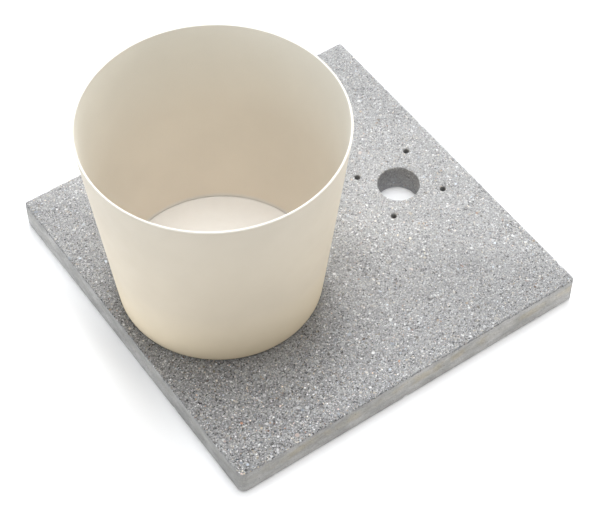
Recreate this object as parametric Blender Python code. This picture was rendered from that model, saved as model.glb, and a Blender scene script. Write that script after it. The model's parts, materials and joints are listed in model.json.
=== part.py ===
"""Garden planter on a concrete base slab.

A tapered sheet-metal pot stands loose on a square exposed-aggregate slab.  The slab also carries a
pole: it has one through hole for it, with four fixing holes for the pole's flange set round it.

Frame: metres, +Z up.  The origin is the centre of the slab's underside.  +X runs from the pot's end
of the slab to the pole hole's end, and +Y completes the right-handed frame.
"""

import math

import bmesh
import bpy
from mathutils import Matrix, Vector

# ---------------------------------------------------------------------------------------------
# Driving dimensions
# ---------------------------------------------------------------------------------------------

GAP = 0.0003  # clearance left between two pieces that touch

# Slab
SLAB_SIDE = 0.500
SLAB_THICKNESS = 0.039
SLAB_ARRIS = 0.0015  # rounding along the top and bottom edges
ARRIS_STEPS = 2
CORNER_RADIUS = {"near_pot": 0.009, "near_hole": 0.005, "far_hole": 0.0045, "far_pot": 0.0045}
CORNER_STEPS = 5

# Pole hole and the four fixing holes of its flange
POLE_HOLE_RADIUS = 0.0275
POLE_HOLE_X = 0.163
POLE_HOLE_STEPS = 48
FIXING_SQUARE = 0.079  # centre to centre along each side of the square
FIXING_CENTRE_X = POLE_HOLE_X + 0.0025
FIXING_HOLE_RADIUS = 0.004
FIXING_HOLE_DEPTH = 0.031
FIXING_STEPS = 16
CUTTER_REACH = 0.01  # how far a cutter runs past the face that it opens

# Threaded sleeves set in the fixing holes
SLEEVE_RADIUS = FIXING_HOLE_RADIUS - GAP
SLEEVE_WAIST_RADIUS = 0.0032
SLEEVE_BORE_RADIUS = 0.0021
SLEEVE_LENGTH = 0.018
SLEEVE_COLLAR = 0.0035
SLEEVE_SLOPE = 0.0007  # height of the step from a collar down to the waist

# Rubber pads under the slab, each glued into a shallow cast pocket
PAD_RADIUS = 0.0225
PAD_STANDOFF = 0.0010  # how far a pad reaches below the slab
PAD_CHAMFER = 0.0004
PAD_STEPS = 32
PAD_CENTRE = 0.205  # from the slab's centre, along X and along Y
PAD_POCKET_DEPTH = 0.0006
PAD_POCKET_CLEARANCE = 0.0006  # round the pad

# Pot
POT_X = -0.1090
POT_Y = 0.0055
POT_TOP_RADIUS = 0.1590
POT_BOTTOM_RADIUS = 0.1278
POT_HEIGHT = 0.2810
POT_WALL = 0.0028
POT_EDGE = 0.0006  # small rounding of the wall's cut edges
POT_STEPS = 128

# Pot floor, with its drain hole in a shallow pressed dish that the last water runs to
FLOOR_THICKNESS = 0.003
DRAIN_RADIUS = 0.011
DISH_DEPTH = 0.0006
DISH_RADIUS = 0.0180  # the flat of the dish, which the plug's flange seals on
DISH_RIM_RADIUS = 0.0205

# Glides under the pot
GLIDE_RADIUS = 0.012
GLIDE_THICKNESS = 0.0015
GLIDE_CHAMFER = 0.0004
GLIDE_STEPS = 24
GLIDE_CIRCLE_RADIUS = 0.098
GLIDE_COUNT = 3
GLIDE_FIRST_ANGLE = math.radians(90)

# Drain plug
PLUG_STEM_RADIUS = DRAIN_RADIUS - GAP
PLUG_STEM_TAPER = 0.0012
PLUG_FLANGE_RADIUS = 0.0165
PLUG_FLANGE_THICKNESS = 0.0025
PLUG_FLANGE_SLOPE = 0.0008
PLUG_WAIST_RADIUS = 0.0045
PLUG_WAIST_HEIGHT = 0.0040
PLUG_KNOB_RADIUS = 0.0065
PLUG_KNOB_HEIGHT = 0.0045
PLUG_KNOB_ROUNDING = 0.0012
PLUG_STEPS = 32

# ---------------------------------------------------------------------------------------------
# Heights worked out from them
# ---------------------------------------------------------------------------------------------

SLAB_TOP = SLAB_THICKNESS
GLIDE_BOTTOM = SLAB_TOP + GAP
POT_BOTTOM = GLIDE_BOTTOM + GLIDE_THICKNESS + GAP
FLOOR_TOP = POT_BOTTOM + FLOOR_THICKNESS
POT_TAPER = (POT_TOP_RADIUS - POT_BOTTOM_RADIUS) / POT_HEIGHT
FLOOR_RADIUS = POT_BOTTOM_RADIUS - POT_WALL - GAP


# ---------------------------------------------------------------------------------------------
# Helpers
# ---------------------------------------------------------------------------------------------


def clear_scene():
    for existing in list(bpy.data.objects):
        bpy.data.objects.remove(existing, do_unlink=True)


def make_material(name, colour, roughness, metallic=0.0):
    """A Principled material with a linear RGB colour."""
    material = bpy.data.materials.new(name)
    material.use_nodes = True
    shader = material.node_tree.nodes["Principled BSDF"]
    shader.inputs["Base Color"].default_value = (*colour, 1.0)
    shader.inputs["Roughness"].default_value = roughness
    shader.inputs["Metallic"].default_value = metallic
    material.diffuse_color = (*colour, 1.0)
    return material


def add_object(name, mesh, location, material=None, parent=None):
    """A new object in the scene's collection, its place given in its parent's frame."""
    thing = bpy.data.objects.new(name, mesh)
    bpy.context.scene.collection.objects.link(thing)
    thing.location = location
    thing.parent = parent
    if material:
        mesh.materials.append(material)
    return thing


def finish_mesh(name, shape, smooth_angle=None):
    """Turns a bmesh into a mesh with outward faces, shaded smooth where smooth_angle is given."""
    bmesh.ops.recalc_face_normals(shape, faces=shape.faces)
    mesh = bpy.data.meshes.new(name)
    shape.to_mesh(mesh)
    shape.free()
    if smooth_angle is not None:
        mesh.shade_smooth()
        mesh.set_sharp_from_angle(angle=smooth_angle)
    return mesh


def turned_mesh(name, profile, steps, smooth_angle=math.radians(35)):
    """Spins a profile of (radius, height) points round Z into a closed solid.

    The profile is a closed outline where it keeps off the axis.  Where it starts and ends on the
    axis, the two ends become the middles of its end faces.
    """
    shape = bmesh.new()
    points = [shape.verts.new((radius, 0.0, height)) for radius, height in profile]
    on_axis = profile[0][0] == 0.0
    pairs = list(zip(points, points[1:]))
    if not on_axis:
        pairs.append((points[-1], points[0]))
    edges = [shape.edges.new(pair) for pair in pairs]
    bmesh.ops.spin(
        shape,
        geom=points + edges,
        cent=(0.0, 0.0, 0.0),
        axis=(0.0, 0.0, 1.0),
        angle=2.0 * math.pi,
        steps=steps,
        use_merge=True,
    )
    bmesh.ops.remove_doubles(shape, verts=shape.verts, dist=0.00001)
    return finish_mesh(name, shape, smooth_angle)


def rounded_corner(centre, radius, first_angle):
    """Points along a quarter circle, anticlockwise from first_angle."""
    for step in range(CORNER_STEPS + 1):
        angle = first_angle + 0.5 * math.pi * step / CORNER_STEPS
        yield Vector((centre[0] + radius * math.cos(angle), centre[1] + radius * math.sin(angle)))


# ---------------------------------------------------------------------------------------------
# Slab and what is fixed to it
# ---------------------------------------------------------------------------------------------


def slab_outline():
    """The slab's outline in plan, anticlockwise from the corner near the pot at -X, -Y."""
    half = 0.5 * SLAB_SIDE
    corners = (
        ("near_pot", -1, -1, math.pi),
        ("near_hole", 1, -1, 1.5 * math.pi),
        ("far_hole", 1, 1, 0.0),
        ("far_pot", -1, 1, 0.5 * math.pi),
    )
    outline = []
    for corner, along_x, along_y, first_angle in corners:
        radius = CORNER_RADIUS[corner]
        centre = (along_x * (half - radius), along_y * (half - radius))
        outline.extend(rounded_corner(centre, radius, first_angle))
    return outline


def slab_block():
    """The slab without its holes: an extruded outline with rounded arrises."""
    shape = bmesh.new()
    corners = [shape.verts.new((point.x, point.y, 0.0)) for point in slab_outline()]
    underside = shape.faces.new(reversed(corners))
    bottom_edges = list(underside.edges)
    made = bmesh.ops.extrude_face_region(shape, geom=[underside], use_keep_orig=True)
    raised = [item for item in made["geom"] if isinstance(item, bmesh.types.BMVert)]
    top_edges = [item for item in made["geom"] if isinstance(item, bmesh.types.BMEdge)]
    bmesh.ops.translate(shape, verts=raised, vec=(0.0, 0.0, SLAB_THICKNESS))
    bmesh.ops.bevel(
        shape, geom=bottom_edges + top_edges, offset=SLAB_ARRIS, segments=ARRIS_STEPS, affect="EDGES"
    )
    return finish_mesh("base_slab", shape)


def fixing_places():
    """Where the four fixing holes stand in plan, with the words that name them."""
    half = 0.5 * FIXING_SQUARE
    for end, along_x in (("inner", -1), ("outer", 1)):
        for side, along_y in (("near", -1), ("far", 1)):
            yield f"{side}_{end}", FIXING_CENTRE_X + along_x * half, along_y * half


def pad_places():
    """Where the four pads are in plan, with the words that name them."""
    for end, along_x in (("pot_end", -1), ("hole_end", 1)):
        for side, along_y in (("near", -1), ("far", 1)):
            yield f"{side}_{end}", along_x * PAD_CENTRE, along_y * PAD_CENTRE


def hole_cutter(name, radius, steps, bottom, top):
    """A hidden cylinder that cuts one hole."""
    mesh = turned_mesh(name, [(0.0, bottom), (radius, bottom), (radius, top), (0.0, top)], steps)
    cutter = add_object(name, mesh, (0.0, 0.0, 0.0))
    cutter.hide_render = True
    cutter.display_type = "WIRE"
    return cutter


def build_slab(concrete):
    slab = add_object("base_slab", slab_block(), (0.0, 0.0, 0.0), concrete)
    above = SLAB_TOP + CUTTER_REACH
    pole = hole_cutter("pole_hole_cutter", POLE_HOLE_RADIUS, POLE_HOLE_STEPS, -CUTTER_REACH, above)
    pole.location = (POLE_HOLE_X, 0.0, 0.0)
    cutters = [pole]
    bottom = SLAB_TOP - FIXING_HOLE_DEPTH
    for place, x, y in fixing_places():
        name = f"fixing_cutter_{place}"
        cutter = hole_cutter(name, FIXING_HOLE_RADIUS, FIXING_STEPS, bottom, above)
        cutter.location = (x, y, 0.0)
        cutters.append(cutter)
    pocket_radius = PAD_RADIUS + PAD_POCKET_CLEARANCE
    for place, x, y in pad_places():
        name = f"pad_pocket_cutter_{place}"
        cutter = hole_cutter(name, pocket_radius, PAD_STEPS, -CUTTER_REACH, PAD_POCKET_DEPTH)
        cutter.location = (x, y, 0.0)
        cutters.append(cutter)
    for cutter in cutters:
        cut = slab.modifiers.new(cutter.name, "BOOLEAN")
        cut.operation = "DIFFERENCE"
        cut.solver = "EXACT"
        cut.object = cutter
    return slab


def build_fixing_sleeves(steel, slab):
    """Threaded sleeves low in the fixing holes: a collar at each end, and a waist that keys in."""
    bottom = SLAB_TOP - FIXING_HOLE_DEPTH + GAP
    top = bottom + SLEEVE_LENGTH
    profile = [
        (SLEEVE_BORE_RADIUS, bottom),
        (SLEEVE_RADIUS, bottom),
        (SLEEVE_RADIUS, bottom + SLEEVE_COLLAR),
        (SLEEVE_WAIST_RADIUS, bottom + SLEEVE_COLLAR + SLEEVE_SLOPE),
        (SLEEVE_WAIST_RADIUS, top - SLEEVE_COLLAR - SLEEVE_SLOPE),
        (SLEEVE_RADIUS, top - SLEEVE_COLLAR),
        (SLEEVE_RADIUS, top),
        (SLEEVE_BORE_RADIUS, top),
    ]
    for place, x, y in fixing_places():
        name = f"fixing_sleeve_{place}"
        add_object(name, turned_mesh(name, profile, FIXING_STEPS), (x, y, 0.0), steel, slab)


def disc_profile(radius, bottom, top, chamfer):
    """The half outline of a flat disc with its lower edge chamfered, for turned_mesh."""
    return [
        (0.0, bottom),
        (radius - chamfer, bottom),
        (radius, bottom + chamfer),
        (radius, top),
        (0.0, top),
    ]


def build_slab_pads(rubber, slab):
    profile = disc_profile(PAD_RADIUS, -PAD_STANDOFF, PAD_POCKET_DEPTH - GAP, PAD_CHAMFER)
    for place, x, y in pad_places():
        name = f"slab_pad_{place}"
        add_object(name, turned_mesh(name, profile, PAD_STEPS), (x, y, 0.0), rubber, slab)


# ---------------------------------------------------------------------------------------------
# Pot, its glides and its drain plug
# ---------------------------------------------------------------------------------------------


def pot_radius(height):
    """The pot's outer radius at a height above its lower edge."""
    return POT_BOTTOM_RADIUS + POT_TAPER * height


def build_pot_wall(enamel, pot):
    """The rolled cone, open at both ends, with its two cut edges eased."""
    top = POT_BOTTOM + POT_HEIGHT
    outer_low = pot_radius(POT_EDGE)
    outer_high = pot_radius(POT_HEIGHT - POT_EDGE)
    profile = [
        (POT_BOTTOM_RADIUS - POT_EDGE, POT_BOTTOM),
        (outer_low, POT_BOTTOM + POT_EDGE),
        (pot_radius(0.5 * POT_HEIGHT), POT_BOTTOM + 0.5 * POT_HEIGHT),
        (outer_high, top - POT_EDGE),
        (POT_TOP_RADIUS - POT_EDGE, top),
        (POT_TOP_RADIUS - POT_WALL + POT_EDGE, top),
        (outer_high - POT_WALL, top - POT_EDGE),
        (pot_radius(0.5 * POT_HEIGHT) - POT_WALL, POT_BOTTOM + 0.5 * POT_HEIGHT),
        (POT_BOTTOM_RADIUS - POT_WALL, POT_BOTTOM),
    ]
    mesh = turned_mesh("pot_wall", profile, POT_STEPS)
    add_object("pot_wall", mesh, (0.0, 0.0, 0.0), enamel, pot)


def build_pot_floor(enamel, pot):
    """The disc welded into the foot of the wall, dished round the drain hole in its middle."""
    profile = [
        (DRAIN_RADIUS, POT_BOTTOM - DISH_DEPTH),
        (DISH_RADIUS, POT_BOTTOM - DISH_DEPTH),
        (DISH_RIM_RADIUS, POT_BOTTOM),
        (FLOOR_RADIUS, POT_BOTTOM),
        (FLOOR_RADIUS, FLOOR_TOP),
        (DISH_RIM_RADIUS, FLOOR_TOP),
        (DISH_RADIUS, FLOOR_TOP - DISH_DEPTH),
        (DRAIN_RADIUS, FLOOR_TOP - DISH_DEPTH),
    ]
    mesh = turned_mesh("pot_floor", profile, POT_STEPS // 2)
    add_object("pot_floor", mesh, (0.0, 0.0, 0.0), enamel, pot)


def build_glides(rubber, pot):
    top = GLIDE_BOTTOM + GLIDE_THICKNESS
    profile = disc_profile(GLIDE_RADIUS, GLIDE_BOTTOM, top, GLIDE_CHAMFER)
    for index in range(GLIDE_COUNT):
        angle = GLIDE_FIRST_ANGLE + 2.0 * math.pi * index / GLIDE_COUNT
        place = Matrix.Rotation(angle, 4, "Z") @ Vector((GLIDE_CIRCLE_RADIUS, 0.0, 0.0))
        name = f"pot_glide_{index + 1}"
        add_object(name, turned_mesh(name, profile, GLIDE_STEPS), place, rubber, pot)


def build_drain_plug(rubber, pot):
    """The stopper of the drain hole: a tapered stem, a sealing flange and a waisted pull knob."""
    foot = POT_BOTTOM - DISH_DEPTH
    seat = FLOOR_TOP - DISH_DEPTH + GAP
    flange_top = seat + PLUG_FLANGE_THICKNESS
    waist_top = flange_top + PLUG_WAIST_HEIGHT
    knob_top = waist_top + PLUG_KNOB_HEIGHT
    profile = [
        (0.0, foot),
        (PLUG_STEM_RADIUS - PLUG_STEM_TAPER, foot),
        (PLUG_STEM_RADIUS, foot + PLUG_STEM_TAPER),
        (PLUG_STEM_RADIUS, seat),
        (PLUG_FLANGE_RADIUS, seat),
        (PLUG_FLANGE_RADIUS - PLUG_FLANGE_SLOPE, flange_top),
        (PLUG_WAIST_RADIUS, flange_top + PLUG_FLANGE_SLOPE),
        (PLUG_WAIST_RADIUS, waist_top),
        (PLUG_KNOB_RADIUS, waist_top + PLUG_KNOB_ROUNDING),
        (PLUG_KNOB_RADIUS, knob_top - PLUG_KNOB_ROUNDING),
        (PLUG_KNOB_RADIUS - PLUG_KNOB_ROUNDING, knob_top),
        (0.0, knob_top),
    ]
    mesh = turned_mesh("drain_plug", profile, PLUG_STEPS)
    add_object("drain_plug", mesh, (0.0, 0.0, 0.0), rubber, pot)


def main():
    clear_scene()

    concrete = make_material("concrete", (0.45, 0.45, 0.44), 0.9)
    steel = make_material("zinc_plated_steel", (0.42, 0.42, 0.43), 0.4, 1.0)
    pad_rubber = make_material("pad_rubber", (0.03, 0.03, 0.03), 0.85)
    enamel = make_material("cream_enamel", (0.80, 0.73, 0.61), 0.55)
    plug_rubber = make_material("plug_rubber", (0.10, 0.10, 0.10), 0.7)

    slab = build_slab(concrete)
    build_fixing_sleeves(steel, slab)
    build_slab_pads(pad_rubber, slab)

    pot = add_object("pot_axis", None, (POT_X, POT_Y, 0.0))
    build_pot_wall(enamel, pot)
    build_pot_floor(enamel, pot)
    build_glides(pad_rubber, pot)
    build_drain_plug(plug_rubber, pot)

    bpy.context.view_layer.update()


main()
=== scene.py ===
"""Looks of the garden planter on its concrete base slab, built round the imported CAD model.

The slab is a fine mesh with a washed, grainy top, cast sides, chipped arrises and blow holes.  The
pot is a rolled and powder-coated cone with a welded-in floor.  Everything is in metres, +Z up.
Lights, camera and a plain pale floor make the studio.
"""

import json
import math

import bpy
import numpy as np
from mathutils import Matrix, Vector, geometry, noise


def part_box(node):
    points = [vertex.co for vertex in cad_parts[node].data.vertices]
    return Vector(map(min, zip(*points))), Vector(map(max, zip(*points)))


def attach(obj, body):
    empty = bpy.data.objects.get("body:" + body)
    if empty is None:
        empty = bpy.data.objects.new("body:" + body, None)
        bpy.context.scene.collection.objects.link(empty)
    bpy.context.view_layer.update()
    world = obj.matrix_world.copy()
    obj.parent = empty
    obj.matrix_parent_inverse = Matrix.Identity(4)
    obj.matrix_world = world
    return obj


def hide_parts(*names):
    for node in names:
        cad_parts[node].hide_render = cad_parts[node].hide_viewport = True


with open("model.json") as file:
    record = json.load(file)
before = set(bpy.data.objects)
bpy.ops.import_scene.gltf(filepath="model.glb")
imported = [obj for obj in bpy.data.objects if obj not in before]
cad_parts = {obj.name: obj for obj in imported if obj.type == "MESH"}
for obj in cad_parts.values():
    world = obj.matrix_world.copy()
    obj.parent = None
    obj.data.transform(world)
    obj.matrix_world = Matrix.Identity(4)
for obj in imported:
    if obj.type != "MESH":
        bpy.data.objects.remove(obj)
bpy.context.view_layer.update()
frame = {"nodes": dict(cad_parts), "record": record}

MM = 0.001
RANDOM = np.random.default_rng(20)

# ---------------------------------------------------------------------------------------------
# Sizes: those of the frame are read from it, and the rest is fine detail
# ---------------------------------------------------------------------------------------------

GAP = 0.3 * MM  # clearance that the CAD model leaves between two pieces that touch

SLAB_LOW, SLAB_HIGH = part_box("base_slab")
SLAB_HALF = 0.5 * (SLAB_HIGH.x - SLAB_LOW.x)
SLAB_TOP = SLAB_HIGH.z
CORNER_SIGNS = ((-1, -1), (1, -1), (1, 1), (-1, 1))  # anticlockwise from -X, -Y
CORNER_RADII = (9.0 * MM, 5.0 * MM, 4.5 * MM, 4.5 * MM)
TOP_ARRIS = 1.3 * MM
FOOT_ARRIS = 1.6 * MM
ARRIS_STEPS = 3
SIDE_PITCH = 2.1 * MM  # between points along and up the sides
TOP_PITCH = 2.2 * MM
UNDERSIDE_PITCH = 9.0 * MM
LOST_GRAIN_SHARE = 0.02  # of the points on top
BLOW_HOLE_SHARE = 0.012  # of the points on the cast sides
PROUDEST = 0.2 * MM  # no point stands out further than this
TOP_CHIPS = 130
FOOT_CHIPS = 70
HOLE_CHIPS = 14
HOLE_ARRIS = 0.5 * MM
POLE_HOLE_RINGS = 17
FIXING_HOLE_RINGS = 16
FIXING_HOLE_POINTS = 24
PAD_POCKET_DEPTH = 0.6 * MM
PAD_POCKET_CLEARANCE = 0.6 * MM
PAD_POCKET_POINTS = 48

POT_LOW, POT_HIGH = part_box("pot_wall")
POT_X = 0.5 * (POT_LOW.x + POT_HIGH.x)
POT_Y = 0.5 * (POT_LOW.y + POT_HIGH.y)
POT_TOP_RADIUS = 0.5 * (POT_HIGH.x - POT_LOW.x)
POT_WALL = 2.8 * MM
RIM_ROUNDING = 0.8 * MM
RIM_WEAR = 1.2 * MM
FOOT_ROUNDING = 0.7 * MM
DUST_HEIGHT = 9.0 * MM  # above the foot
POT_STEPS = 240
WALL_RINGS = 48
SEAM_ANGLE = math.radians(55)  # the wall's upright weld is on its far side
SEAM_HEIGHT = 0.25 * MM
SEAM_WIDTH = 2.2 * MM

FLOOR_LOW, FLOOR_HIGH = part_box("pot_floor")
BEAD_SIZE = 1.4 * MM  # the weld where the floor meets the wall
BEAD_RIPPLE = 0.12 * MM
BEAD_RIPPLES = 230
DRAIN_RADIUS = 11.0 * MM
DISH_DEPTH = 0.6 * MM
DISH_RADIUS = 18.0 * MM
DISH_RIM_RADIUS = 20.5 * MM

PLUG_LOW, PLUG_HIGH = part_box("drain_plug")
PLUG_STEPS = 72

# Where the photograph was taken from
CAMERA_TARGET = Vector((-0.01135, -0.02684, SLAB_TOP))
CAMERA_DISTANCE = 2.3542
CAMERA_AZIMUTH = -34.94  # degrees
CAMERA_ELEVATION = 51.946
CAMERA_LENS = 112.6
CAMERA_SENSOR = 36.0  # millimetres, as the lens

KEY_AZIMUTH = 145.0  # degrees: the main light stands behind the object

# ---------------------------------------------------------------------------------------------
# Helpers: meshes
# ---------------------------------------------------------------------------------------------


def corners_of(node):
    """The vertices of a CAD node as an array."""
    flat = np.zeros(len(frame["nodes"][node].data.vertices) * 3)
    frame["nodes"][node].data.vertices.foreach_get("co", flat)
    return flat.reshape(-1, 3)


def opening_centre(name):
    """The middle in plan of one of the record's openings."""
    box = next(o["box_m"] for o in frame["record"]["physics"]["openings"] if o["name"] == name)
    return np.array([0.5 * (box[0][0] + box[1][0]), 0.5 * (box[0][1] + box[1][1])])


def node_centre(node):
    """The middle in plan of a CAD node."""
    low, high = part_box(node)
    return np.array([0.5 * (low.x + high.x), 0.5 * (low.y + high.y)])


def towards(azimuth, elevation):
    """A unit vector from the object, azimuth as the camera's: 0 looks along +Y."""
    turn, rise = math.radians(azimuth), math.radians(elevation)
    return Vector(
        (math.sin(turn) * math.cos(rise), -math.cos(turn) * math.cos(rise), math.sin(rise))
    )


def smooth_noise(points, size, seed=0.0):
    """Gentle noise from about -1 to 1 whose lumps are about size metres apart."""
    offset = Vector((seed * 7.3, seed * 3.1, seed * 5.7))
    return np.array([noise.noise(Vector(point) / size + offset) for point in points])


def new_piece(name, points, faces, material, body):
    """A smooth-shaded mesh that rides on a body of the CAD model."""
    mesh = bpy.data.meshes.new(name)
    mesh.from_pydata([tuple(point) for point in points], [], faces)
    mesh.validate()
    mesh.materials.append(material)
    mesh.shade_smooth()
    piece = bpy.data.objects.new(name, mesh)
    bpy.context.scene.collection.objects.link(piece)
    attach(piece, body)
    return piece


def lathe(profile, angles, centre, shift=None):
    """Turns a profile of (radius, height) points round an upright axis.

    A profile that starts and ends on the axis keeps one point at each end, and any other one is
    closed end to start.  shift(radii, heights, angles) may move points in and out, up and down.
    """
    radii, heights = (np.array(values, float) for values in zip(*profile))
    on_axis = radii[0] == 0.0 and radii[-1] == 0.0
    grid_radius = np.repeat(radii[:, None], len(angles), axis=1)
    grid_height = np.repeat(heights[:, None], len(angles), axis=1)
    grid_angle = np.repeat(np.array(angles)[None, :], len(radii), axis=0)
    if shift:
        grid_radius, grid_height = shift(grid_radius, grid_height, grid_angle)
    points = np.stack(
        [
            centre[0] + grid_radius * np.cos(grid_angle),
            centre[1] + grid_radius * np.sin(grid_angle),
            grid_height,
        ],
        axis=-1,
    ).reshape(-1, 3)
    count = len(angles)
    rows = len(radii)
    faces = []
    for row in range(rows - 1 if on_axis else rows):
        below, above = row * count, (row + 1) % rows * count
        for step in range(count):
            following = (step + 1) % count
            corners = [below + step, below + following, above + following, above + step]
            if on_axis and row == 0:
                corners = [0, above + following, above + step]
            elif on_axis and row == rows - 2:
                corners = [below + step, below + following, above]
            faces.append(corners)
    if on_axis:
        spare = count - 1
        points = np.vstack([points[:1], points[count : (rows - 1) * count + 1]])
        faces = [[max(number - spare, 0) for number in corners] for corners in faces]
    return points, faces


def arc(centre, radius, start, end, steps):
    """(radius, height) points along an arc, its angles in degrees from outwards, upwards."""
    for step in range(steps + 1):
        angle = math.radians(start + (end - start) * step / steps)
        yield (centre[0] + radius * math.cos(angle), centre[1] + radius * math.sin(angle))


def even_angles(steps):
    """Angles spread evenly over a full turn."""
    return [2.0 * math.pi * step / steps for step in range(steps)]


class Skin:
    """Gathers the rings, bands and caps of the slab's surface, and which way each point may move."""

    def __init__(self):
        self.points = []
        self.outward = []
        self.faces = []

    def ring(self, plan, height, outward):
        """Adds a ring of points at one height, and returns their numbers."""
        first = len(self.points)
        self.points.extend((x, y, height) for x, y in plan)
        self.outward.extend(outward)
        return list(range(first, len(self.points)))

    def band(self, above, below):
        """Joins two rings of the same count, seen anticlockwise from above and from outside."""
        count = len(above)
        for step in range(count):
            following = (step + 1) % count
            self.faces.append((below[step], below[following], above[following], above[step]))

    def fan(self, ring, height, direction):
        """Closes a ring with a middle point."""
        plan = np.mean([self.points[number][:2] for number in ring], axis=0)
        middle = self.ring([plan], height, [direction])[0]
        for step, number in enumerate(ring):
            following = ring[(step + 1) % len(ring)]
            self.faces.append((middle, number, following))

    def sheet(self, outer, holes, pitch, height, upwards):
        """Fills the space between an outer ring and hole rings with fine, uneven triangles.

        holes lists (ring, centre, radius).
        """
        reach = np.abs([self.points[number][:2] for number in outer]).max()
        clear = 0.55 * pitch
        cells = int(2 * reach / pitch)
        along = -reach + pitch * (np.arange(cells) + 0.5)
        plan = np.stack(np.meshgrid(along, along), axis=-1).reshape(-1, 2)
        plan = plan + RANDOM.uniform(-0.32, 0.32, plan.shape) * pitch
        keep = inside_square(plan, reach, clear)
        for _, centre, radius in holes:
            keep &= np.hypot(*(plan - centre).T) > radius + clear
        plan = plan[keep]
        direction = (0.0, 0.0, 1.0 if upwards else -1.0)
        inner = self.ring(plan, height, [direction] * len(plan))
        numbers = list(inner)
        borders = []
        for ring in [outer] + [hole[0] for hole in holes]:
            first = len(numbers)
            numbers.extend(ring)
            count = len(ring)
            borders.extend((first + step, first + (step + 1) % count) for step in range(count))
        flat = [Vector(self.points[number][:2]) / MM for number in numbers]
        made = geometry.delaunay_2d_cdt(flat, borders, [], 1, 1e-5)
        source = [numbers[origins[0]] for origins in made[3]]
        for triangle in made[2]:
            corners = [source[corner] for corner in triangle]
            middle = np.mean([self.points[number][:2] for number in corners], axis=0)
            if any(np.hypot(*(middle - centre)) < radius for _, centre, radius in holes):
                continue
            self.faces.append(tuple(corners if upwards else reversed(corners)))


def inside_square(plan, half, clear):
    """Which points lie inside the slab's rounded plan by at least clear."""
    keep = np.abs(plan).max(axis=1) < half - clear
    for (along_x, along_y), radius in zip(CORNER_SIGNS, CORNER_RADII):
        centre = np.array([along_x, along_y]) * (half - radius)
        beyond = (plan - centre) * (along_x, along_y)
        cut_off = (beyond.min(axis=1) > 0) & (np.hypot(*beyond.T) > radius - clear)
        keep &= ~cut_off
    return keep


def slab_plan():
    """Points round the slab's plan, anticlockwise, and the outward direction at each."""
    plan, outward = [], []
    centres = [
        np.array(signs) * (SLAB_HALF - radius) for signs, radius in zip(CORNER_SIGNS, CORNER_RADII)
    ]
    for index, (centre, radius) in enumerate(zip(centres, CORNER_RADII)):
        first_angle = math.pi + 0.5 * math.pi * index
        steps = math.ceil(0.5 * math.pi * radius / SIDE_PITCH)
        for step in range(steps + 1):
            angle = first_angle + 0.5 * math.pi * step / steps
            direction = np.array([math.cos(angle), math.sin(angle)])
            plan.append(centre + radius * direction)
            outward.append(direction)
        leaving = np.array([math.cos(angle), math.sin(angle)])
        start = centre + radius * leaving
        end = centres[(index + 1) % 4] + CORNER_RADII[(index + 1) % 4] * leaving
        steps = round(np.linalg.norm(end - start) / SIDE_PITCH)
        for step in range(1, steps):
            plan.append(start + (end - start) * step / steps)
            outward.append(leaving)
    return np.array(plan), np.array(outward)


# ---------------------------------------------------------------------------------------------
# Helpers: materials
# ---------------------------------------------------------------------------------------------


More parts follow.
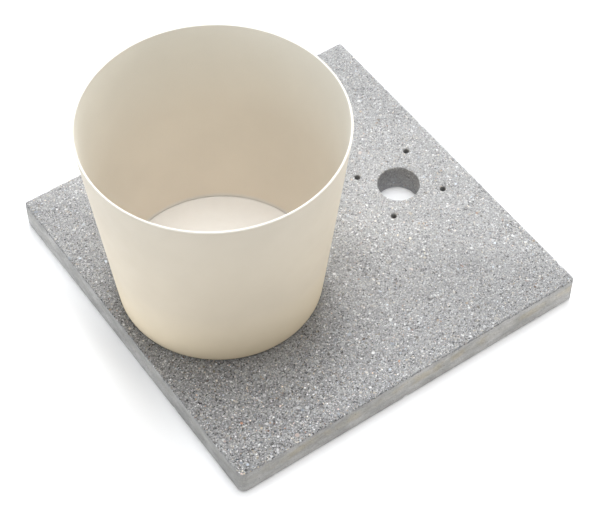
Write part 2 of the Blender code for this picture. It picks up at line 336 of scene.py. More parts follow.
class Look:
    """A Principled material, with short ways to add the nodes that feed it."""

    def __init__(self, name):
        self.material = bpy.data.materials.new(name)
        self.material.use_nodes = True
        self.tree = self.material.node_tree
        self.shader = self.tree.nodes["Principled BSDF"]
        coordinates = self.tree.nodes.new("ShaderNodeTexCoord")
        self.place = coordinates.outputs["Object"]

    def set(self, **values):
        """Numbers and colours that are the same all over, on the shader's own sockets."""
        for name, value in values.items():
            self.shader.inputs[name.replace("_", " ")].default_value = value

    def feed(self, socket, source):
        """Links a node's output to one of the shader's sockets."""
        self.tree.links.new(source, self.shader.inputs[socket])

    def plug(self, node, socket, value):
        """Links or sets a node's input, and leaves it alone for None."""
        if isinstance(value, bpy.types.NodeSocket):
            self.tree.links.new(value, node.inputs[socket])
        elif value is not None:
            node.inputs[socket].default_value = value

    def stretch(self, scale):
        """The object's coordinates, stretched by a factor along each axis."""
        made = self.tree.nodes.new("ShaderNodeMapping")
        self.plug(made, "Vector", self.place)
        made.inputs["Scale"].default_value = scale
        return made.outputs["Vector"]

    def moved(self, offset):
        """The object's coordinates, moved by an offset."""
        made = self.tree.nodes.new("ShaderNodeVectorMath")
        self.plug(made, 0, self.place)
        made.inputs[1].default_value = offset
        return made.outputs[0]

    def grey(self, value):
        """A number as a grey colour."""
        made = self.tree.nodes.new("ShaderNodeCombineColor")
        for socket in range(3):
            self.plug(made, socket, value)
        return made.outputs[0]

    def noise(self, size, detail=2.0, roughness=0.5, place=None):
        """Noise from 0 to 1, with lumps about size metres across."""
        made = self.tree.nodes.new("ShaderNodeTexNoise")
        self.plug(made, "Vector", place or self.place)
        made.inputs["Scale"].default_value = 1.0 / size
        made.inputs["Detail"].default_value = detail
        made.inputs["Roughness"].default_value = roughness
        return made.outputs["Fac"]

    def cells(self, size, place=None):
        """Cells about size metres apart: the distance to the cell's middle, and its colour."""
        made = self.tree.nodes.new("ShaderNodeTexVoronoi")
        self.plug(made, "Vector", place or self.place)
        made.inputs["Scale"].default_value = 1.0 / size
        return made.outputs["Distance"], made.outputs["Color"]

    def channels(self, colour):
        """The red, green and blue of a colour."""
        made = self.tree.nodes.new("ShaderNodeSeparateColor")
        self.plug(made, 0, colour)
        return made.outputs[0], made.outputs[1], made.outputs[2]

    def axes(self):
        """The object's coordinates along x, y and z."""
        made = self.tree.nodes.new("ShaderNodeSeparateXYZ")
        self.plug(made, 0, self.place)
        return made.outputs[0], made.outputs[1], made.outputs[2]

    def math(self, operation, first, second=None):
        """Arithmetic on one or two values, each a socket or a number."""
        made = self.tree.nodes.new("ShaderNodeMath")
        made.operation = operation
        self.plug(made, 0, first)
        self.plug(made, 1, second)
        return made.outputs[0]

    def total(self, *values):
        """The sum of several values."""
        added = values[0]
        for value in values[1:]:
            added = self.math("ADD", added, value)
        return added

    def power(self, colour, exponent):
        """Deepens a colour's contrast by raising it to a power."""
        made = self.tree.nodes.new("ShaderNodeGamma")
        self.plug(made, 0, colour)
        self.plug(made, 1, exponent)
        return made.outputs[0]

    def span(self, value, low, high, to_low=0.0, to_high=1.0, smooth=True):
        """Maps low..high of a value to to_low..to_high, and holds it there beyond."""
        made = self.tree.nodes.new("ShaderNodeMapRange")
        made.interpolation_type = "SMOOTHSTEP" if smooth else "LINEAR"
        for socket, number in enumerate((value, low, high, to_low, to_high)):
            self.plug(made, socket, number)
        return made.outputs[0]

    def ramp(self, factor, stops, steps=False):
        """A colour for each factor, from (factor, colour) stops, blended or in steps."""
        made = self.tree.nodes.new("ShaderNodeValToRGB")
        made.color_ramp.interpolation = "CONSTANT" if steps else "LINEAR"
        elements = made.color_ramp.elements
        while len(elements) < len(stops):
            elements.new(1.0)
        for element, (place, colour) in zip(elements, stops):
            element.position = place
            element.color = (*colour, 1.0)
        self.plug(made, 0, factor)
        return made.outputs[0]

    def mix(self, factor, first, second, blend="MIX"):
        """Blends two colours, each a socket or an RGB triple."""
        made = self.tree.nodes.new("ShaderNodeMix")
        made.data_type = "RGBA"
        made.blend_type = blend
        self.plug(made, 0, factor)
        for socket, colour in ((6, first), (7, second)):
            self.plug(made, socket, (*colour, 1.0) if isinstance(colour, tuple) else colour)
        return made.outputs[2]

    def bump(self, height, depth, before=None):
        """Tilts the surface as a height from 0 to 1, depth metres deep, would."""
        made = self.tree.nodes.new("ShaderNodeBump")
        made.inputs["Distance"].default_value = depth
        self.plug(made, "Height", height)
        self.plug(made, "Normal", before)
        return made.outputs["Normal"]


# ---------------------------------------------------------------------------------------------
# Materials
# ---------------------------------------------------------------------------------------------

GRAIN_GREYS = (  # share of the grains that are darker, colour
    (0.00, (0.030, 0.030, 0.034)),
    (0.07, (0.080, 0.080, 0.086)),
    (0.20, (0.195, 0.196, 0.204)),
    (0.36, (0.325, 0.327, 0.336)),
    (0.55, (0.410, 0.413, 0.423)),
    (0.74, (0.520, 0.524, 0.535)),
    (0.90, (0.660, 0.665, 0.678)),
    (1.00, (0.860, 0.865, 0.875)),
)
GRAIN_TINTS = (  # share of the grains that come before, colour that tints the grey
    (0.00, (1.00, 1.00, 1.00)),
    (0.84, (1.05, 1.00, 0.92)),
    (0.92, (0.93, 0.99, 1.07)),
    (0.955, (1.06, 0.96, 0.80)),
    (0.978, (0.98, 0.80, 0.62)),
    (0.987, (1.00, 0.88, 0.82)),
    (0.993, (0.76, 0.50, 0.38)),
)
GRAIN_SIZES = (  # size, share of the cells that show, darkest shade, offset that parts the patterns
    (1.25 * MM, 1.00, 0.00, 0.31),
    (2.0 * MM, 0.42, 0.00, 0.00),
    (3.2 * MM, 0.12, 0.12, 0.17),
    (5.2 * MM, 0.025, 0.40, 0.23),
)


def washed_grains(look):
    """Grains of four sizes that lie side by side in grey cement: their colour and relief."""
    surface = look.mix(look.noise(5 * MM, detail=3.0), (0.300, 0.301, 0.308), (0.400, 0.401, 0.408))
    relief = look.noise(0.8 * MM, detail=2.0)
    for size, share, darkest, offset in GRAIN_SIZES:
        distance, colour = look.cells(size, look.moved((offset, offset, offset)))
        shade, tint, shown = look.channels(colour)
        radius = look.span(tint, 0.0, 1.0, 0.40, 0.62, smooth=False)
        grain = look.span(look.math("SUBTRACT", radius, distance), -0.04, 0.06)
        grain = look.math("MULTIPLY", grain, look.math("LESS_THAN", shown, share))
        grey = look.ramp(look.span(shade, 0.0, 1.0, darkest, 1.0, smooth=False), GRAIN_GREYS)
        tinted = look.mix(1.0, grey, look.ramp(tint, GRAIN_TINTS, steps=True), "MULTIPLY")
        surface = look.mix(grain, surface, tinted)
        height = look.math("MULTIPLY", grain, look.span(shown, 0.0, share, 0.25, 0.9, smooth=False))
        relief = look.total(relief, height)
    return surface, relief


def cast_cement(look, x, y, z):
    """The smooth sides: cloudy grey, a warm band near mid height, streaks, specks and pits.

    They carry painted shade: darker towards the corner nearest the camera, and darker on the two
    sides that face the key light, which keeps those from burning out.
    """
    clouds = look.noise(38 * MM, detail=6.0, roughness=0.62)
    cast = look.mix(look.span(clouds, 0.32, 0.68), (0.400, 0.399, 0.396), (0.520, 0.519, 0.515))
    wander = look.noise(28 * MM, detail=4.0)
    height = look.total(z, look.math("MULTIPLY", wander, 16 * MM))
    warm = look.math(
        "MULTIPLY", look.span(height, 20 * MM, 28 * MM), look.span(height, 42 * MM, 34 * MM)
    )
    patchy = look.span(look.noise(22 * MM, detail=5.0), 0.40, 0.62, 0.15, 0.75)
    warm = look.math("MULTIPLY", warm, look.span(x, -0.97 * SLAB_HALF, -0.8 * SLAB_HALF, 0.15, 1.0))
    cast = look.mix(look.math("MULTIPLY", warm, patchy), cast, (0.470, 0.430, 0.350))
    streaks = look.noise(13 * MM, detail=5.0, roughness=0.7, place=look.stretch((0.6, 0.6, 1.8)))
    cast = look.mix(1.0, cast, look.grey(look.span(streaks, 0.30, 0.70, 0.84, 1.14)), "MULTIPLY")
    specks = look.noise(1.6 * MM, detail=3.0, roughness=0.7)
    cast = look.mix(1.0, cast, look.grey(look.span(specks, 0.30, 0.70, 0.86, 1.12)), "MULTIPLY")
    pits = look.span(look.noise(2.6 * MM, detail=1.0), 0.66, 0.74, 0.0, 0.7)
    cast = look.mix(pits, cast, (0.200, 0.196, 0.188))
    inwards = look.total(x, y)
    # Painted shade: the sides are darker towards the corner nearest the camera, lighter towards the back
    paler = look.span(inwards, -2.0 * SLAB_HALF, 0.0, 0.84, 1.08, smooth=False)
    # Painted shade: the two far sides, which face the key light, are darkened so they do not burn out
    farthest = look.math("MAXIMUM", x, y)
    painted_shade_far_sides = look.span(farthest, SLAB_HALF - 6 * MM, SLAB_HALF - 3 * MM, 1.0, 0.58)
    return look.mix(1.0, cast, look.grey(look.math("MULTIPLY", paler, painted_shade_far_sides)), "MULTIPLY")


def concrete_look():
    """Washed concrete on the top, cast cement on the sides, and a ragged edge between them.

    The top is washed deepest at the corner nearest the camera, so its grains stand out most there,
    and a paler film of cement is left on them towards the far corner.
    """
    look = Look("washed_concrete")
    x, y, z = look.axes()
    surface, relief = washed_grains(look)
    inwards = look.total(x, y)
    washing = look.total(look.noise(40 * MM, detail=4.0), look.math("MULTIPLY", inwards, 0.9))
    film = look.span(washing, 0.10, 0.90, 0.0, 0.36, smooth=False)
    depth = look.span(inwards, -1.6 * SLAB_HALF, -0.2 * SLAB_HALF, 1.28, 1.0)
    lift = look.span(inwards, -1.6 * SLAB_HALF, -0.6 * SLAB_HALF, 1.38, 1.0)
    surface = look.mix(1.0, look.power(surface, depth), look.grey(lift), "MULTIPLY")
    top = look.mix(film, surface, (0.405, 0.407, 0.415))
    mottle = look.span(look.noise(80 * MM, detail=5.0), 0.30, 0.70, 0.93, 1.04)
    top = look.mix(1.0, top, look.grey(mottle), "MULTIPLY")
    # Painted light: the top is darker towards the corner nearest the camera and lighter towards the far
    # corner
    paler = look.span(inwards, -0.08 * SLAB_HALF, 0.28 * SLAB_HALF, 0.92, 1.10)
    top = look.mix(1.0, top, look.grey(paler), "MULTIPLY")
    cast = cast_cement(look, x, y, z)

    ragged = look.math("MULTIPLY", look.noise(7 * MM, detail=4.0, roughness=0.65), 8.0 * MM)
    low_edge = look.math("SUBTRACT", SLAB_TOP + 2.0 * MM, ragged)
    washed = look.span(look.math("SUBTRACT", z, low_edge), -0.35 * MM, 0.35 * MM)
    across = look.math("MAXIMUM", look.math("ABSOLUTE", x), look.math("ABSOLUTE", y))
    bored = look.span(across, SLAB_HALF - 6 * MM, SLAB_HALF - 9 * MM)
    inside_hole = look.math("MULTIPLY", bored, look.span(z, SLAB_TOP - 0.8 * MM, SLAB_TOP - 1.6 * MM))
    cut = look.mix(0.55, surface, (0.330, 0.332, 0.340))
    lower = look.mix(inside_hole, cast, cut)

    look.feed("Base Color", look.mix(washed, lower, top))
    look.feed("Roughness", look.span(look.noise(4 * MM), 0.3, 0.7, 0.82, 0.96))
    rough_share = look.span(washed, 0.0, 1.0, 0.12, 1.0)
    coarse = look.bump(look.math("MULTIPLY", relief, rough_share), 0.45 * MM)
    look.feed("Normal", look.bump(look.noise(0.7 * MM, detail=3.0), 0.08 * MM, coarse))
    look.set(Specular_IOR_Level=0.25)
    return look.material


OUTSIDE_COAT_AND_PAINTED_LIGHT = (  # share of the pot's height, colour: painted light, lighter and warmer towards the foot, where the slab shades the wall
    (0.00, (0.930, 0.806, 0.598)),
    (0.35, (0.762, 0.677, 0.543)),
    (1.00, (0.695, 0.636, 0.535)),
)
# Painted light: inside, lighter than outside, lighter and paler towards the rim, and paler on the floor
INSIDE_COAT_AND_PAINTED_LIGHT = (
    (0.020, (0.800, 0.775, 0.740)),
    (0.040, (0.820, 0.745, 0.645)),
    (0.55, (0.820, 0.762, 0.672)),
    (1.00, (0.930, 0.912, 0.845)),
)


def enamel_look():
    """Cream powder coat on sheet metal: fine orange peel, uneven, thin at the rim, dusty at the foot.

    Its colours carry painted light and shade.  Outside, it is darker on the side nearest the camera
    and on the side that faces the key light, which keeps both from burning out, and lighter and
    warmer towards the foot.  Inside, it is lighter than outside, and paler towards the rim and floor.
    """
    look = Look("cream_powder_coat")
    x, y, z = look.axes()
    foot_radius, taper = wall_taper()
    across = look.math("SUBTRACT", x, POT_X)
    along = look.math("SUBTRACT", y, POT_Y)
    squares = [look.math("POWER", distance, 2.0) for distance in (across, along)]
    reach = look.math("SQRT", look.total(*squares))
    widening = look.math("MULTIPLY", look.math("SUBTRACT", z, POT_LOW.z), taper)
    straightened = look.math("SUBTRACT", reach, widening)
    mid_wall = foot_radius - 0.5 * POT_WALL
    outside = look.span(straightened, mid_wall - 0.3 * MM, mid_wall + 0.3 * MM)
    height = look.span(z, POT_LOW.z, POT_HIGH.z, smooth=False)
    key = towards(KEY_AZIMUTH, 0.0)
    towards_key = look.total(
        look.math("MULTIPLY", across, key.x), look.math("MULTIPLY", along, key.y)
    )
    # Painted shade: the outside is darkened on the side nearest the camera and on the side facing the key
    # light
    painted_shade_camera_side = look.span(towards_key, -0.16, -0.03, 0.915, 1.0)
    painted_shade_key_side = look.span(towards_key, 0.0, 0.16, 1.0, 0.78)
    painted_shade_both_sides = look.grey(look.math("MULTIPLY", painted_shade_camera_side, painted_shade_key_side))
    # Painted light and shade: the outside's ramp, darkened on two sides
    coat = look.mix(1.0, look.ramp(height, OUTSIDE_COAT_AND_PAINTED_LIGHT), painted_shade_both_sides, "MULTIPLY")
    # Inside and outside are lit and shaded copies of one coat: their colours differ as painted light
    colour = look.mix(outside, look.ramp(height, INSIDE_COAT_AND_PAINTED_LIGHT), coat)
    drift = look.span(look.noise(70 * MM, detail=3.0), 0.3, 0.7, 0.985, 1.015)
    colour = look.mix(1.0, colour, look.grey(drift), "MULTIPLY")
    fleck = look.span(look.noise(1.6 * MM, detail=2.0), 0.60, 0.72, 0.0, 0.10)
    colour = look.mix(fleck, colour, (0.715, 0.650, 0.545))
    raggedness = look.math("MULTIPLY", look.noise(9 * MM), RIM_WEAR)
    above_wear = look.math("SUBTRACT", z, look.math("SUBTRACT", POT_HIGH.z - RIM_WEAR, raggedness))
    worn = look.span(above_wear, 0.0, 0.9 * MM, 0.0, 0.55)
    colour = look.mix(worn, colour, (0.880, 0.850, 0.800))
    foot = look.span(z, POT_LOW.z + DUST_HEIGHT, POT_LOW.z, 0.0, 0.20)
    dust = look.math("MULTIPLY", foot, look.noise(12 * MM, detail=5.0))
    colour = look.mix(dust, colour, (0.560, 0.500, 0.420))
    look.feed("Base Color", colour)
    look.feed("Roughness", look.span(look.noise(25 * MM, detail=4.0), 0.3, 0.7, 0.46, 0.58))
    peel = look.bump(look.noise(3.2 * MM, detail=1.0), 0.035 * MM)
    look.feed("Normal", look.bump(look.noise(0.8 * MM, detail=2.0), 0.012 * MM, peel))
    look.set(Specular_IOR_Level=0.35)
    return look.material


def rubber_look(name, dark, light):
    """Moulded rubber: matt, finely pitted, with pale dust in the pits."""
    look = Look(name)
    dust = look.span(look.noise(6 * MM, detail=6.0, roughness=0.65), 0.50, 0.75)
    look.feed("Base Color", look.mix(dust, dark, light))
    look.feed("Roughness", look.span(look.noise(2 * MM), 0.3, 0.7, 0.72, 0.92))
    look.feed("Normal", look.bump(look.noise(0.5 * MM, detail=3.0), 0.05 * MM))
    look.set(Specular_IOR_Level=0.35)
    return look.material


def zinc_look():
    """Zinc-plated steel: mottled grey, brighter where the plating is rubbed."""
    look = Look("zinc_plated_steel")
    distance, _ = look.cells(1.4 * MM)
    tone = look.mix(distance, (0.62, 0.63, 0.65), (0.42, 0.43, 0.45))
    white_rust = look.span(look.noise(2.5 * MM, detail=5.0), 0.56, 0.70, 0.0, 0.6)
    look.feed("Base Color", look.mix(white_rust, tone, (0.66, 0.66, 0.64)))
    look.feed("Roughness", look.span(look.noise(1.0 * MM, detail=3.0), 0.3, 0.7, 0.28, 0.50))
    look.feed("Normal", look.bump(look.noise(0.3 * MM, detail=2.0), 0.02 * MM))
    look.set(Metallic=1.0)
    return look.material


# ---------------------------------------------------------------------------------------------
# Slab
# ---------------------------------------------------------------------------------------------

SLEEVES = [f"fixing_sleeve_{side}_{end}" for end in ("inner", "outer") for side in ("near", "far")]
PADS = [f"slab_pad_{side}_{end}" for end in ("pot_end", "hole_end") for side in ("near", "far")]
GLIDES = [f"pot_glide_{number}" for number in (1, 2, 3)]


def circle_plan(centre, radius, points):
    """Points round a circle in plan, and the outward direction at each."""
    angles = np.array(even_angles(points))
    directions = np.stack([np.cos(angles), np.sin(angles)], axis=1)
    return centre + radius * directions, directions


def bore(skin, centre, radius, points, lowest, rings, through=False):
    """Adds a hole's wall in rings from the top down, and returns its mouths above and below."""
    mouth_plan, directions = circle_plan(centre, radius + HOLE_ARRIS, points)
    inward = np.hstack([-directions, np.zeros((points, 1))])
    easing = inward + (0.0, 0.0, 1.0)
    mouth = skin.ring(mouth_plan, SLAB_TOP, easing / math.sqrt(2.0))
    above = mouth
    for height in np.linspace(SLAB_TOP - HOLE_ARRIS, lowest, rings):
        below = skin.ring(circle_plan(centre, radius, points)[0], height, inward)
        skin.band(below, above)
        above = below
    if not through:
        skin.fan(above, lowest, (0.0, 0.0, 1.0))
        return mouth, None
    easing = (inward - (0.0, 0.0, 1.0)) / math.sqrt(2.0)
    outlet = skin.ring(mouth_plan, 0.0, easing)
    skin.band(outlet, above)
    return mouth, outlet


def slab_skin():
    """The slab's whole surface before it is roughened, the plan of its edge, and its pole hole."""
    skin = Skin()
    plan, outward = slab_plan()
    sideways = np.hstack([outward, np.zeros((len(plan), 1))])

    rings = []
    for radius, centre_height, start, end in (
        (TOP_ARRIS, SLAB_TOP - TOP_ARRIS, 90.0, 0.0),
        (FOOT_ARRIS, FOOT_ARRIS, 0.0, -90.0),
    ):
        edge = []
        for reach, height in arc((-radius, centre_height), radius, start, end, ARRIS_STEPS):
            lean = np.array([0.0, 0.0, (height - centre_height) / radius])
            tilt = sideways + lean
            edge.append((reach, height, tilt / np.linalg.norm(tilt, axis=1)[:, None]))
        if rings:
            between = round((rings[-1][1] - edge[0][1]) / SIDE_PITCH)
            for height in np.linspace(rings[-1][1], edge[0][1], between + 1)[1:-1]:
                rings.append((0.0, height, sideways))
        rings.extend(edge)

    numbered = [skin.ring(plan + reach * outward, height, lean) for reach, height, lean in rings]
    for above, below in zip(numbered, numbered[1:]):
        skin.band(above, below)

    pole_centre = opening_centre("pole_hole_square")
    pole_radius = np.hypot(*(corners_of("base_slab")[:, :2] - pole_centre).T).min()
    pole_points = round(2.0 * math.pi * pole_radius / SIDE_PITCH)
    mouth, outlet = bore(
        skin, pole_centre, pole_radius, pole_points, HOLE_ARRIS, POLE_HOLE_RINGS, through=True
    )
    top_holes = [(mouth, pole_centre, pole_radius + HOLE_ARRIS)]
    bottom_holes = [(outlet, pole_centre, pole_radius + HOLE_ARRIS)]
    for sleeve in SLEEVES:
        low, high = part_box(sleeve)
        centre = node_centre(sleeve)
        radius = 0.5 * (high.x - low.x) + GAP
        foot = low.z - GAP
        mouth, _ = bore(skin, centre, radius, FIXING_HOLE_POINTS, foot, FIXING_HOLE_RINGS)
        top_holes.append((mouth, centre, radius + HOLE_ARRIS))
    for pad in PADS:
        low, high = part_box(pad)
        centre = node_centre(pad)
        radius = 0.5 * (high.x - low.x) + PAD_POCKET_CLEARANCE
        pocket_plan, directions = circle_plan(centre, radius, PAD_POCKET_POINTS)
        inward = np.hstack([-directions, np.zeros((PAD_POCKET_POINTS, 1))])
        mouth = skin.ring(pocket_plan, 0.0, inward)
        roof = skin.ring(pocket_plan, PAD_POCKET_DEPTH, inward)
        skin.band(mouth, roof)
        skin.fan(list(reversed(roof)), PAD_POCKET_DEPTH, (0.0, 0.0, -1.0))
        bottom_holes.append((mouth, centre, radius))
    skin.sheet(numbered[0], top_holes, TOP_PITCH, SLAB_TOP, upwards=True)
    skin.sheet(numbered[-1], bottom_holes, UNDERSIDE_PITCH, 0.0, upwards=False)
    return skin, plan, outward, pole_centre, pole_radius


def roughen(points, outward):
    """Moves each point of the slab's surface a little in or out, as washed and cast concrete is."""
    top = (outward[:, 2] > 0.9) & (points[:, 2] > SLAB_TOP - 0.1 * MM)
    depth = 0.22 * MM * smooth_noise(points, 45 * MM, 1.0)
    depth += 0.10 * MM * smooth_noise(points, 9 * MM, 2.0)
    grains = np.clip(RANDOM.normal(-0.03 * MM, 0.11 * MM, len(points)), -0.35 * MM, 0.14 * MM)
    lost_grains = RANDOM.random(len(points)) < LOST_GRAIN_SHARE
    grains = np.where(lost_grains, RANDOM.uniform(-0.8, -0.4, len(points)) * MM, grains)
    cast = 0.03 * MM * RANDOM.normal(size=len(points))
    blow_holes = RANDOM.random(len(points)) < BLOW_HOLE_SHARE
    cast = np.where(blow_holes, RANDOM.uniform(-1.0, -0.4, len(points)) * MM, cast)
    depth += np.where(top, grains, cast)
    depth = np.minimum(depth, PROUDEST)
    return points + outward * depth[:, None]


def chip(points, centre, radius):
    """Knocks a round hollow out of an edge: points inside a ball move to its surface."""
    away = points - centre
    distance = np.linalg.norm(away, axis=1)
    struck = distance < radius
    points[struck] = centre + away[struck] * (radius / distance[struck])[:, None]


def chip_edges(points, plan, outward, pole_centre, pole_radius):
    """Small chips along the slab's top and bottom edges, and round the pole hole's mouth."""
    for height, lift, count, largest in (
        (SLAB_TOP, 1.0, TOP_CHIPS, 2.0 * MM),
        (0.0, -1.0, FOOT_CHIPS, 2.4 * MM),
    ):
        for number in RANDOM.integers(0, len(plan), count):
            depth = RANDOM.uniform(0.6 * MM, 1.0 * MM) + (largest - 1.0 * MM) * RANDOM.random() ** 4
            radius = depth * RANDOM.uniform(1.3, 4.0)
            diagonal = np.array([*outward[number], lift * RANDOM.uniform(0.6, 1.4)])
            diagonal /= np.linalg.norm(diagonal)
            edge = np.array([*plan[number], height])
            chip(points, edge + diagonal * (radius - depth), radius)
    for angle in RANDOM.uniform(0.0, 2.0 * math.pi, HOLE_CHIPS):
        direction = np.array([math.cos(angle), math.sin(angle)])
        edge = np.array([*(pole_centre + pole_radius * direction), SLAB_TOP])
        depth = RANDOM.uniform(0.5, 0.9) * MM
        radius = depth * RANDOM.uniform(1.4, 3.0)
        diagonal = np.array([*(-direction), 1.0]) / math.sqrt(2.0)
        chip(points, edge + diagonal * (radius - depth), radius)


def build_slab():
    """The slab's roughened and chipped skin, in place of the CAD model's plain one."""
    skin, plan, outward, pole_centre, pole_radius = slab_skin()
    points = roughen(np.array(skin.points), np.array(skin.outward))
    chip_edges(points, plan, outward, pole_centre, pole_radius)
    slab = new_piece("slab_concrete", points, skin.faces, concrete_look(), "slab")
    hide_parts("base_slab")


# ---------------------------------------------------------------------------------------------
# Pot
# ---------------------------------------------------------------------------------------------


def wall_taper():
    """The pot's outer radius at its foot, and how much it widens for each metre of height."""
    corners = corners_of("pot_wall")
    low = corners[corners[:, 2] < POT_LOW.z + 0.7 * MM]
    low_radius = np.hypot(low[:, 0] - POT_X, low[:, 1] - POT_Y).max()
    return low_radius, (POT_TOP_RADIUS - low_radius) / (POT_HIGH.z - POT_LOW.z)


def build_wall(enamel):
    """The rolled cone: slightly out of round, an upright weld outside, eased cut edges."""
    foot_radius, taper = wall_taper()
    low, high = POT_LOW.z, POT_HIGH.z

    def outer(height):
        return foot_radius + taper * (height - low)

    profile = list(
        arc((foot_radius - FOOT_ROUNDING, low + FOOT_ROUNDING), FOOT_ROUNDING, -90.0, 0.0, 4)
    )
    for height in np.linspace(low, high, WALL_RINGS)[1:-1]:
        profile.append((outer(height), height))
    rim = (POT_TOP_RADIUS - RIM_ROUNDING, high - RIM_ROUNDING)
    profile.extend(arc(rim, RIM_ROUNDING, 0.0, 90.0, 5))
    inner_rim = (POT_TOP_RADIUS - POT_WALL + RIM_ROUNDING, high - RIM_ROUNDING)
    profile.extend(arc(inner_rim, RIM_ROUNDING, 90.0, 180.0, 5))
    for height in np.linspace(high, low, WALL_RINGS)[1:-1]:
        profile.append((outer(height) - POT_WALL, height))
    profile.append((foot_radius - POT_WALL, low))

    def shift(radii, heights, angles):
        oval = 0.18 * MM * np.cos(2 * angles + 0.6) + 0.10 * MM * np.cos(3 * angles + 2.0)
        share = (heights - low) / (high - low)
        outside = radii > foot_radius + taper * (heights - low) - 0.5 * POT_WALL
        from_seam = (np.angle(np.exp(1j * (angles - SEAM_ANGLE)))) * radii
        weld = SEAM_HEIGHT * np.exp(-((from_seam / SEAM_WIDTH) ** 2))
        ripple = 1.0 + 0.25 * np.sin(heights / (0.9 * MM))
        return radii + oval * share + np.where(outside, weld * ripple, 0.0), heights

    close_steps = [SEAM_ANGLE + step * 0.9 * MM / foot_radius for step in range(-6, 7)]
    far_steps = [a for a in even_angles(POT_STEPS) if abs(a - SEAM_ANGLE) > 7 * MM / foot_radius]
    angles = sorted(close_steps + far_steps)
    points, faces = lathe(profile, angles, (POT_X, POT_Y), shift)
    wall = new_piece("pot_wall_coated", points, faces, enamel, "pot")
    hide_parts("pot_wall")


def build_floor(enamel):
    """The welded-in floor: dished round the drain hole, with a rippled bead at the wall."""
    foot_radius, taper = wall_taper()
    bottom, top = POT_LOW.z, FLOOR_HIGH.z
    edge = 0.5 * (FLOOR_HIGH.x - FLOOR_LOW.x)
    wall_inside = foot_radius - POT_WALL + taper * (top + BEAD_SIZE - bottom) - 0.1 * MM
    profile = [
        (DRAIN_RADIUS + 0.3 * MM, bottom - DISH_DEPTH),
        (DISH_RADIUS, bottom - DISH_DEPTH),
        (DISH_RIM_RADIUS, bottom),
        (edge, bottom),
        (edge, top + 0.2 * MM),
        (wall_inside - 0.25 * MM, top + BEAD_SIZE),
        (wall_inside - 0.55 * BEAD_SIZE, top + 0.50 * BEAD_SIZE),
        (wall_inside - 1.20 * BEAD_SIZE, top + 0.12 * BEAD_SIZE),
        (wall_inside - 2.20 * BEAD_SIZE, top),
    ]
    for radius in np.linspace(edge - 5 * MM, DISH_RIM_RADIUS + 1.0 * MM, 34):
        profile.append((radius, top))
    for step in range(5):
        turn = 0.5 - 0.5 * math.cos(math.pi * step / 4)
        radius = DISH_RIM_RADIUS + (DISH_RADIUS - DISH_RIM_RADIUS) * step / 4
        profile.append((radius, top - DISH_DEPTH * turn))
    profile.extend(
        [
            (DRAIN_RADIUS + 0.4 * MM, top - DISH_DEPTH),
            (DRAIN_RADIUS, top - DISH_DEPTH - 0.4 * MM),
            (DRAIN_RADIUS, bottom - DISH_DEPTH + 0.3 * MM),
        ]
    )

    def shift(radii, heights, angles):
        near_bead = np.clip((radii - (wall_inside - 2.0 * BEAD_SIZE)) / (2.0 * BEAD_SIZE), 0.0, 1.0)
        bead = near_bead * (heights > top + 0.1 * MM)
        ripple = BEAD_RIPPLE * np.sin(BEAD_RIPPLES * angles + 0.8 * np.sin(9 * angles))
        flat = (heights > top - 0.05 * MM) & (radii < edge - 3 * MM)
        wave = 0.12 * MM * np.sin(3 * angles + 1.0) * np.sin(math.pi * radii / edge)
        return radii - 0.4 * bead * ripple, heights + bead * ripple + np.where(flat, wave, 0.0)

    points, faces = lathe(profile, even_angles(4 * BEAD_RIPPLES), (POT_X, POT_Y), shift)
    floor = new_piece("pot_floor_coated", points, faces, enamel, "pot")
    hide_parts("pot_floor")


def build_plug(rubber):
    """The drain hole's stopper, with rounded lips, a waist and a dimpled pull knob."""
    foot, crown = PLUG_LOW.z, PLUG_HIGH.z
    flange_radius = 0.5 * (PLUG_HIGH.x - PLUG_LOW.x)
    stem = DRAIN_RADIUS - GAP
    seat = FLOOR_HIGH.z - DISH_DEPTH + GAP
    knob = 6.5 * MM
    waist = 4.5 * MM
    profile = [(0.0, foot + 0.6 * MM), (stem - 3.5 * MM, foot + 0.6 * MM)]
    profile.extend(arc((stem - 2.0 * MM, foot + 1.0 * MM), 1.0 * MM, -120.0, -20.0, 5))
    profile.extend([(stem, foot + 1.6 * MM), (stem, seat - 0.3 * MM), (stem + 0.3 * MM, seat)])
    profile.extend(arc((flange_radius - 0.9 * MM, seat + 0.9 * MM), 0.9 * MM, -90.0, 60.0, 8))
    profile.append((waist + 2.4 * MM, seat + 2.6 * MM))
    profile.extend(arc((waist + 1.9 * MM, seat + 4.6 * MM), 1.9 * MM, 265.0, 175.0, 8))
    profile.extend(arc((knob - 1.3 * MM, crown - 2.9 * MM), 1.3 * MM, -70.0, 0.0, 4))
    profile.extend(arc((knob - 1.3 * MM, crown - 1.3 * MM), 1.3 * MM, 0.0, 90.0, 6))
    profile.extend([(2.6 * MM, crown - 0.25 * MM), (1.2 * MM, crown - 0.6 * MM), (0.0, crown - 0.65 * MM)])

    def shift(radii, heights, angles):
        parting = 0.10 * MM * np.exp(-((np.sin(angles) * radii / (0.35 * MM)) ** 2))
        return np.where(radii > 3 * MM, radii + parting, radii), heights

    centre = node_centre("drain_plug")
    points, faces = lathe(profile, even_angles(PLUG_STEPS), centre, shift)
    plug = new_piece("drain_plug_moulded", points, faces, rubber, "drain_plug")
    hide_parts("drain_plug")


def finish_small_nodes():
    """Gives the CAD nodes that stay their own finishes."""
    zinc = zinc_look()
    black_rubber = rubber_look("black_rubber", (0.022, 0.022, 0.023), (0.065, 0.062, 0.058))
    for names, material in ((SLEEVES, zinc), (PADS + GLIDES, black_rubber)):
        for name in names:
            node = frame["nodes"][name]
            for slot in node.material_slots:
                slot.material = material


# ---------------------------------------------------------------------------------------------
# Studio
# ---------------------------------------------------------------------------------------------


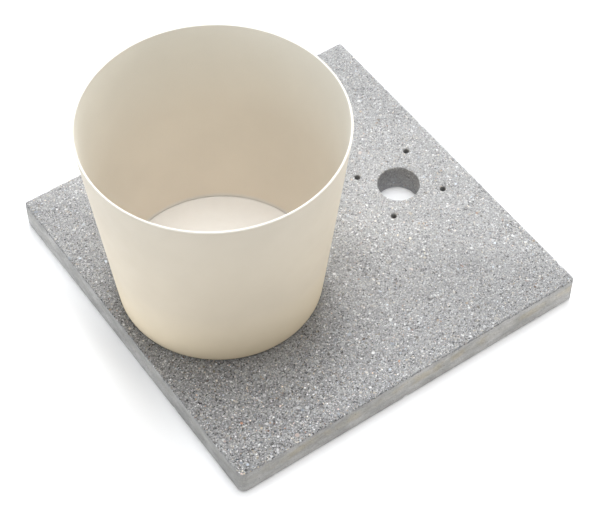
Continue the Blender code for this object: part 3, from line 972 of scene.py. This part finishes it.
def build_camera():
    """The camera that took the photograph, as solved from the slab's corners and its hole."""
    camera = bpy.data.objects.new("camera", bpy.data.cameras.new("camera"))
    bpy.context.scene.collection.objects.link(camera)
    back = towards(CAMERA_AZIMUTH, CAMERA_ELEVATION)
    camera.location = CAMERA_TARGET + back * CAMERA_DISTANCE
    camera.rotation_euler = back.to_track_quat("Z", "Y").to_euler()
    camera.data.sensor_width = CAMERA_SENSOR
    camera.data.lens = CAMERA_LENS
    bpy.context.scene.camera = camera


def build_floor_plane():
    """A plain pale floor just under the slab's pads, with a faint glow that keeps it white."""
    ground = min(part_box(pad)[0].z for pad in PADS) - 0.1 * MM
    mesh = bpy.data.meshes.new("studio_floor")
    corners = [(x * STUDIO_REACH, y * STUDIO_REACH, ground) for x, y in CORNER_SIGNS]
    mesh.from_pydata(corners, [], [(0, 1, 2, 3)])
    look = Look("studio_floor")
    look.set(Base_Color=(0.88, 0.885, 0.90, 1.0), Roughness=1.0, Specular_IOR_Level=0.0)
    look.set(Emission_Color=(0.98, 0.99, 1.0, 1.0), Emission_Strength=0.15)
    mesh.materials.append(look.material)
    floor = bpy.data.objects.new("studio_floor", mesh)
    bpy.context.scene.collection.objects.link(floor)


COOL_WHITE = (0.965, 0.984, 1.0)
BLUE_WHITE = (0.88, 0.94, 1.0)
WARM_WHITE = (1.0, 0.965, 0.90)
SOFT_LIGHTS = (  # name, azimuth, elevation and apparent width in degrees, brightness, colour
    ("key", KEY_AZIMUTH, 19.0, 40.0, 1.28, COOL_WHITE),
    ("overhead", KEY_AZIMUTH, 86.0, 30.0, 0.68, COOL_WHITE),
    ("left_fill", -115.0, 18.0, 40.0, 0.18, BLUE_WHITE),
    ("right_fill", 90.0, 18.0, 40.0, 0.24, WARM_WHITE),
    ("front_fill", 0.0, 40.0, 40.0, 0.07, WARM_WHITE),
)
STUDIO_REACH = 30.0  # from the middle of the floor to each of its sides
SKY_BRIGHTNESS = 0.25
HORIZON_BRIGHTNESS = 0.95
HORIZON_BAND = (0.07, 0.16)  # sines of the elevations between which the horizon fades to sky


def build_lights():
    """Wide, distant lights, so that each falls evenly on the whole object, and a pale sky."""
    for name, azimuth, elevation, width, brightness, colour in SOFT_LIGHTS:
        lamp = bpy.data.lights.new(name, "SUN")
        lamp.energy = math.pi * brightness
        lamp.color = colour
        lamp.angle = math.radians(width)
        light = bpy.data.objects.new(name, lamp)
        bpy.context.scene.collection.objects.link(light)
        light.rotation_euler = towards(azimuth, elevation).to_track_quat("Z", "Y").to_euler()
    world = bpy.data.worlds.new("studio")
    bpy.context.scene.world = world
    world.use_nodes = True
    tree = world.node_tree
    sky = tree.nodes["Background"]
    place = tree.nodes.new("ShaderNodeTexCoord")
    axes = tree.nodes.new("ShaderNodeSeparateXYZ")
    tree.links.new(place.outputs["Generated"], axes.inputs[0])
    band = tree.nodes.new("ShaderNodeMapRange")
    band.interpolation_type = "SMOOTHSTEP"
    tree.links.new(axes.outputs[2], band.inputs[0])
    limits = (*HORIZON_BAND, HORIZON_BRIGHTNESS, SKY_BRIGHTNESS)
    for socket, number in enumerate(limits, start=1):
        band.inputs[socket].default_value = number
    tree.links.new(band.outputs[0], sky.inputs["Strength"])
    sky.inputs["Color"].default_value = (*WARM_WHITE, 1.0)
    bpy.context.scene.view_settings.view_transform = "Standard"


# ---------------------------------------------------------------------------------------------


def main():
    """Builds everything."""
    build_camera()
    build_slab()
    enamel = enamel_look()
    build_wall(enamel)
    build_floor(enamel)
    build_plug(rubber_look("grey_rubber", (0.080, 0.080, 0.082), (0.150, 0.145, 0.140)))
    finish_small_nodes()
    build_floor_plane()
    build_lights()


main()
